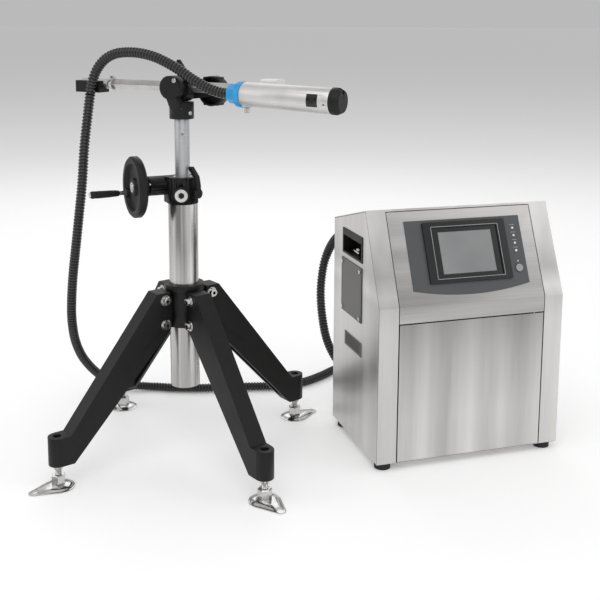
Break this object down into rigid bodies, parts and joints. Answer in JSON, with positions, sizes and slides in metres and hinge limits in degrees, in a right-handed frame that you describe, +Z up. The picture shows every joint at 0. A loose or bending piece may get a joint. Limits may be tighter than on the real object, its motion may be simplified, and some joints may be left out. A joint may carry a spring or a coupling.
{
  "type": "date code inkjet printer",
  "caption": "Date code inkjet printer: stainless ink cabinet with a sloped display console, four-legged stand with geared lift, cross clamp and a print head on a corrugated hose.",
  "frame": {"origin": "on the floor under the middle of the whole outline, without the hoses", "axes": "+X to the right along the cabinet's front, +Y to the back, +Z up"},
  "size_m": [0.904, 0.5845, 0.7033],
  "materials": {
    "brushed_stainless": "brushed stainless sheet, satin",
    "polished_tube": "polished stainless tube",
    "bright_steel": "bright plated steel",
    "bare_aluminium": "machined aluminium",
    "black_casting": "satin black powder coat on castings",
    "black_steel": "blackened steel",
    "black_plastic": "matte black moulding",
    "black_rubber": "moulded rubber",
    "overlay_film": "textured keypad film",
    "bezel_plastic": "gloss black frame",
    "screen_glass": "unlit grey display glass",
    "lamp_lens": "clear lamp lenses",
    "grey_plate": "dark satin plate",
    "white_plastic": "white plastic",
    "ink_blue": "dark blue ink bottle",
    "board_green": "circuit board",
    "switch_red": "red rocker",
    "gland_blue": "blue gland nut",
    "hose_black": "black corrugated hose"
  },
  "bodies": {
    "base": {"cabinet_shell": "brushed_stainless", "console_panel": "brushed_stainless", "control_overlay": "overlay_film", "screen_bezel": "bezel_plastic", "touch_screen": "screen_glass", "status_lamps": "lamp_lens", "side_handles": "black_plastic", "side_plate": "grey_plate", "cabinet_fasteners": "bright_steel", "side_vent": "black_plastic", "rubber_feet": "black_rubber", "ink_tank": "ink_blue", "solvent_tank": "white_plastic", "ink_pump": "black_steel", "control_board": "board_green", "power_supply": "bare_aluminium", "fan_frame": "black_plastic", "power_inlet": "black_plastic", "cabinet_gland": "black_plastic", "mast_tube": "polished_tube", "hub": "black_casting", "leg_1": "black_casting", "leg_2": "black_casting", "leg_3": "black_casting", "leg_4": "black_casting", "stand_fasteners": "bright_steel", "lift_head": "black_casting", "rod_bush": "bare_aluminium", "lift_screws": "bright_steel", "umbilical_hose": "hose_black"},
    "lift": {"lift_rod": "bare_aluminium", "lift_rack": "bright_steel"},
    "wheel": {"pinion_shaft": "black_steel", "handwheel": "black_plastic", "crank_pin": "bright_steel"},
    "crank": {"crank_handle": "black_plastic"},
    "lock": {"lift_lock_lever": "black_plastic"},
    "clamp": {"clamp_base": "black_casting"},
    "jaw": {"clamp_jaw": "black_casting"},
    "lever": {"jaw_lever": "black_plastic"},
    "knob": {"jaw_knob": "black_plastic"},
    "bar": {"arm_bar": "polished_tube", "hose_clip": "black_plastic", "bar_collar": "bare_aluminium", "head_mount": "white_plastic", "head_tube": "brushed_stainless", "head_gland": "gland_blue", "head_window": "bezel_plastic", "nozzle_unit": "bare_aluminium", "arm_hose": "hose_black"},
    "nose": {"nose_cap": "black_plastic"},
    "thumb": {"head_thumb_screw": "bright_steel"},
    "door": {"front_door": "brushed_stainless"},
    "button": {"power_button": "bright_steel"},
    "rocker": {"mains_switch": "switch_red"},
    "fan": {"fan_rotor": "black_plastic"},
    "foot_1": {"levelling_foot_1": "bright_steel"},
    "foot_2": {"levelling_foot_2": "bright_steel"},
    "foot_3": {"levelling_foot_3": "bright_steel"},
    "foot_4": {"levelling_foot_4": "bright_steel"}
  },
  "joints": [
    {"name": "mast_lift", "type": "slide", "parent": "base", "child": "lift", "axis": [0, 0, 1], "range_m": [-0.05, 0.13], "deforming": ["umbilical_hose"]},
    {"name": "handwheel_spin", "type": "hinge", "parent": "base", "child": "wheel", "pos_m": [-0.18168, 0.02321, 0.471], "axis": [-0.9877, -0.1564, 0], "range_deg": [-290, 750]},
    {"name": "crank_spin", "type": "hinge", "parent": "wheel", "child": "crank", "pos_m": [-0.18748, 0.05984, 0.45602], "axis": [-0.9877, -0.1564, 0], "continuous": true},
    {"name": "lift_lock", "type": "hinge", "parent": "base", "child": "lock", "pos_m": [-0.1585, -0.02785, 0.462], "axis": [0.5736, -0.8192, 0], "range_deg": [-35, 35]},
    {"name": "clamp_swivel", "type": "hinge", "parent": "lift", "child": "clamp", "pos_m": [-0.178, 0, 0.6], "axis": [0, 0, 1], "range_deg": [-30, 30], "deforming": ["umbilical_hose"]},
    {"name": "arm_tilt", "type": "hinge", "parent": "clamp", "child": "jaw", "pos_m": [-0.178, 0, 0.639], "axis": [0.7071, 0.7071, 0], "range_deg": [-15, 15], "deforming": ["umbilical_hose"]},
    {"name": "jaw_lever_turn", "type": "hinge", "parent": "jaw", "child": "lever", "pos_m": [-0.16669, 0.01414, 0.6524], "axis": [0.7071, 0.7071, 0], "range_deg": [-15, 60]},
    {"name": "jaw_knob_turn", "type": "hinge", "parent": "jaw", "child": "knob", "pos_m": [-0.13133, -0.01838, 0.632], "axis": [0.7071, 0.7071, 0], "range_deg": [-90, 180]},
    {"name": "arm_slide", "type": "slide", "parent": "jaw", "child": "bar", "axis": [0.7071, -0.7071, 0], "range_m": [-0.008, 0.06], "deforming": ["umbilical_hose"]},
    {"name": "nose_cap_slide", "type": "slide", "parent": "bar", "child": "nose", "axis": [0.7069, -0.7069, -0.0262], "range_m": [0, 0.03]},
    {"name": "thumb_screw_turn", "type": "hinge", "parent": "bar", "child": "thumb", "pos_m": [-0.0963, -0.1241, 0.6329], "axis": [-0.0185, 0.0185, -0.9997], "range_deg": [-360, 90]},
    {"name": "door_swing", "type": "hinge", "parent": "base", "child": "door", "pos_m": [0.3982, -0.1814, 0.13], "axis": [0, 0, 1], "range_deg": [0, 100]},
    {"name": "power_press", "type": "slide", "parent": "base", "child": "button", "axis": [0, 0.9088, -0.4172], "range_m": [0, 0.0015], "stiffness_N_per_m": 400},
    {"name": "mains_rocker", "type": "hinge", "parent": "base", "child": "rocker", "pos_m": [0.38, 0.036, 0.075], "axis": [1, 0, 0], "range_deg": [-14, 0]},
    {"name": "fan_spin", "type": "hinge", "parent": "base", "child": "fan", "pos_m": [0.359, 0.011, 0.25], "axis": [0, 1, 0], "continuous": true},
    {"name": "foot_height_1", "type": "slide", "parent": "base", "child": "foot_1", "axis": [0, 0, 1], "range_m": [0, 0.009]},
    {"name": "foot_height_2", "type": "slide", "parent": "base", "child": "foot_2", "axis": [0, 0, 1], "range_m": [0, 0.009]},
    {"name": "foot_height_3", "type": "slide", "parent": "base", "child": "foot_3", "axis": [0, 0, 1], "range_m": [0, 0.009]},
    {"name": "foot_height_4", "type": "slide", "parent": "base", "child": "foot_4", "axis": [0, 0, 1], "range_m": [0, 0.009]}
  ],
  "couplings": [
    {"joint": "handwheel_spin", "follows": "mast_lift", "rad_per_m": 100}
  ]
}
